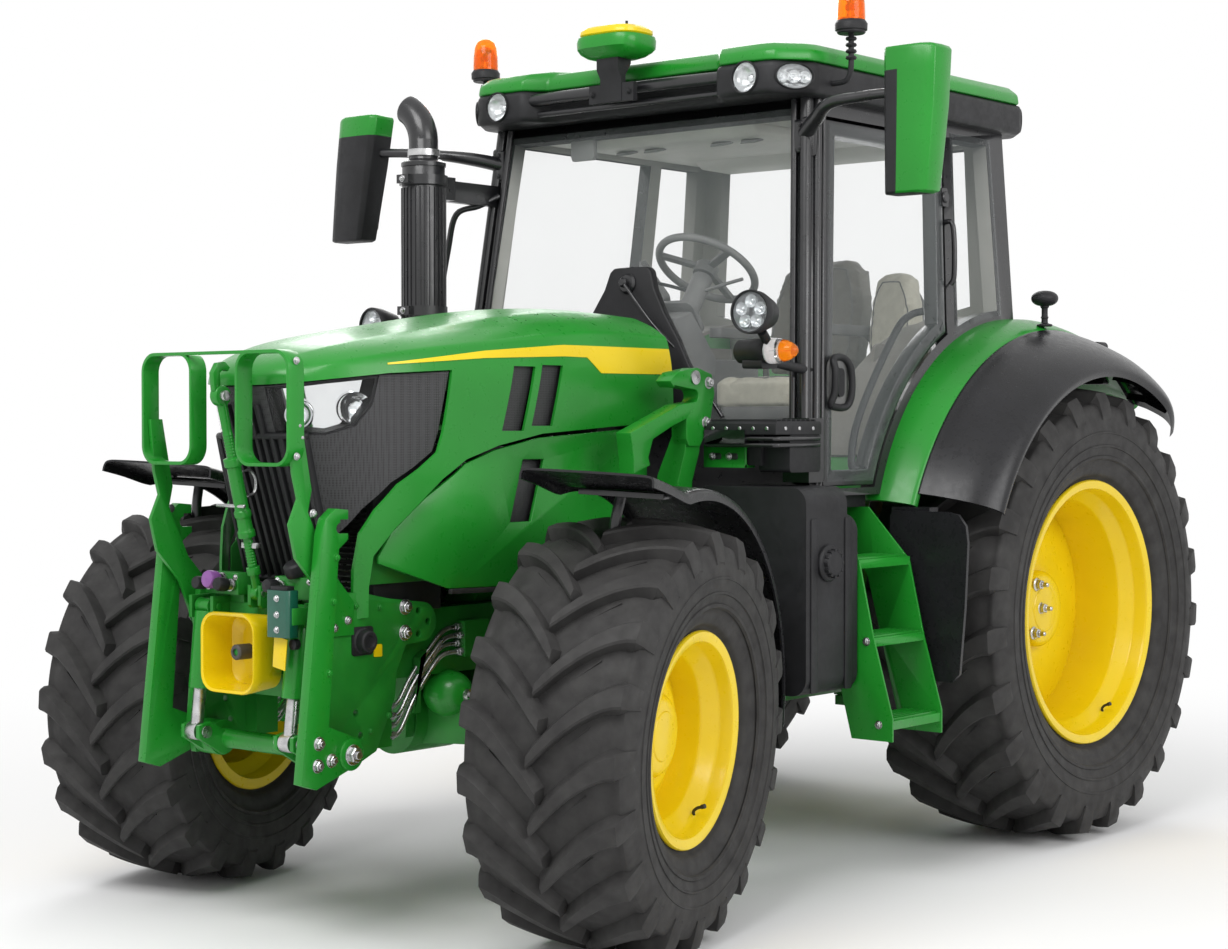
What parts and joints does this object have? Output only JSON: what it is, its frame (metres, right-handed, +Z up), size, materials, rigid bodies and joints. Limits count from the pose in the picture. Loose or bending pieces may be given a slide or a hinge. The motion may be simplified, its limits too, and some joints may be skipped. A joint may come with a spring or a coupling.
{
  "type": "farm tractor with a closed cab and a front hitch",
  "caption": "Four-wheel-drive farm tractor with a glazed cab, sloping hood, steered front wheels, front lift arms and a rear three-point hitch.",
  "frame": {"origin": "on the ground under the middle of the tractor", "axes": "+X to the tractor's left, -Y forward, +Z up"},
  "size_m": [2.68, 4.392, 3.1221],
  "materials": {
    "green": "gloss enamel",
    "yellow": "gloss enamel",
    "black": "fine grain",
    "black_paint": "satin",
    "iron": "as cast",
    "steel": "polished rod",
    "tyre": "matte",
    "glass": "clear",
    "lamp": "clear over chrome",
    "amber": "gloss",
    "cloth": "woven"
  },
  "bodies": {
    "chassis": {"front_frame": "green", "engine_block": "iron", "cooling_pack": "iron", "transaxle": "green", "front_axle": "green", "side_panels": "green", "fuel_tank": "black", "battery_box": "black", "steps": "green", "cab_frame": "black_paint", "cab_floor": "black", "roof_shell": "green", "roof_base": "black", "cab_glass": "glass", "seats": "cloth", "dash_console": "black", "rear_fenders": "green", "fender_flares": "black", "exhaust": "black_paint", "mirrors": "green", "beacons": "amber", "receiver": "yellow", "lamps": "lamp", "front_hitch_frame": "green", "front_guard": "green", "pto_shield": "yellow", "front_top_link": "green", "loader_brackets": "green", "rear_hitch_frame": "green"},
    "hood": {"hood_shell": "green", "grille": "black", "headlamps": "lamp"},
    "door": {"door_frame": "black_paint", "door_glass": "glass"},
    "back_window": {"rear_window": "glass"},
    "hand_wheel": {"steering_wheel": "black"},
    "left_knuckle": {"knuckle_left": "green", "front_fender_left": "black"},
    "right_knuckle": {"knuckle_right": "green", "front_fender_right": "black"},
    "wheel_front_left": {"tyre_front_left": "tyre", "rim_front_left": "yellow"},
    "wheel_front_right": {"tyre_front_right": "tyre", "rim_front_right": "yellow"},
    "wheel_rear_left": {"tyre_rear_left": "tyre", "rim_rear_left": "yellow"},
    "wheel_rear_right": {"tyre_rear_right": "tyre", "rim_rear_right": "yellow"},
    "front_lift": {"front_lift_arms": "green"},
    "barrels": {"lift_barrels": "green"},
    "rods": {"lift_rods": "steel"},
    "rear_links": {"rear_lower_links": "green"},
    "rear_arms": {"rear_lift_arms": "green"},
    "rear_rods": {"rear_lift_rods": "green"}
  },
  "joints": [
    {"name": "steer_left", "type": "hinge", "parent": "chassis", "child": "left_knuckle", "pos_m": [0.77997, -1.38, 0.66327], "axis": [-0.0091, 0.225, 0.9743], "range_deg": [-46.4, 17.6]},
    {"name": "steer_right", "type": "hinge", "parent": "chassis", "child": "right_knuckle", "pos_m": [-0.77997, -1.38, 0.64873], "axis": [-0.0091, 0.225, 0.9743], "range_deg": [-46.4, 17.6]},
    {"name": "spin_front_left", "type": "hinge", "parent": "left_knuckle", "child": "wheel_front_left", "pos_m": [0.93017, -1.34244, 0.656], "axis": [0.9691, 0.2423, -0.0469], "continuous": true},
    {"name": "spin_front_right", "type": "hinge", "parent": "right_knuckle", "child": "wheel_front_right", "pos_m": [-0.93017, -1.41756, 0.656], "axis": [0.9691, 0.2423, -0.0469], "continuous": true},
    {"name": "spin_rear_left", "type": "hinge", "parent": "chassis", "child": "wheel_rear_left", "pos_m": [0.896, 1.2, 0.8725], "axis": [1, 0, 0], "continuous": true},
    {"name": "spin_rear_right", "type": "hinge", "parent": "chassis", "child": "wheel_rear_right", "pos_m": [-0.896, 1.2, 0.8725], "axis": [1, 0, 0], "continuous": true},
    {"name": "hood_lift", "type": "hinge", "parent": "chassis", "child": "hood", "pos_m": [0, -0.485, 1.9], "axis": [1, 0, 0], "range_deg": [-55, 0]},
    {"name": "door_swing", "type": "hinge", "parent": "chassis", "child": "door", "pos_m": [0.80582, 0.704, 1.98424], "axis": [-0.075, 0.0742, 0.9944], "range_deg": [0, 65]},
    {"name": "back_window_tilt", "type": "hinge", "parent": "chassis", "child": "back_window", "pos_m": [0, 1.209, 2.712], "axis": [1, 0, 0], "range_deg": [0, 50]},
    {"name": "hand_wheel_turn", "type": "hinge", "parent": "chassis", "child": "hand_wheel", "pos_m": [0, 0.25, 2.19], "axis": [0, 0.5692, 0.8222], "continuous": true},
    {"name": "front_lift_swing", "type": "hinge", "parent": "chassis", "child": "front_lift", "pos_m": [0, -1.985, 0.61], "axis": [1, 0, 0], "range_deg": [0, 40]},
    {"name": "barrel_swing", "type": "hinge", "parent": "chassis", "child": "barrels", "pos_m": [0, -2.035, 1.028], "axis": [1, 0, 0], "range_deg": [-6, 6]},
    {"name": "rod_slide", "type": "slide", "parent": "barrels", "child": "rods", "axis": [0, -0.1152, -0.9933], "range_m": [-0.005, 0.12]},
    {"name": "rear_link_swing", "type": "hinge", "parent": "chassis", "child": "rear_links", "pos_m": [0, 1.47, 0.58], "axis": [1, 0, 0], "range_deg": [-18, 35]},
    {"name": "rear_arm_swing", "type": "hinge", "parent": "chassis", "child": "rear_arms", "pos_m": [0, 1.47, 1.15], "axis": [1, 0, 0], "range_deg": [-18, 35]},
    {"name": "rear_rod_swing", "type": "hinge", "parent": "rear_arms", "child": "rear_rods", "pos_m": [0, 1.87, 1.15], "axis": [1, 0, 0], "range_deg": [-35, 18]}
  ],
  "couplings": [
    {"joint": "steer_right", "follows": "steer_left", "ratio": 1},
    {"joint": "barrel_swing", "follows": "front_lift_swing", "ratio": 0.02146},
    {"joint": "rod_slide", "follows": "front_lift_swing", "m_per_rad": 0.09736},
    {"joint": "rear_arm_swing", "follows": "rear_link_swing", "ratio": 1},
    {"joint": "rear_rod_swing", "follows": "rear_link_swing", "ratio": -1}
  ]
}
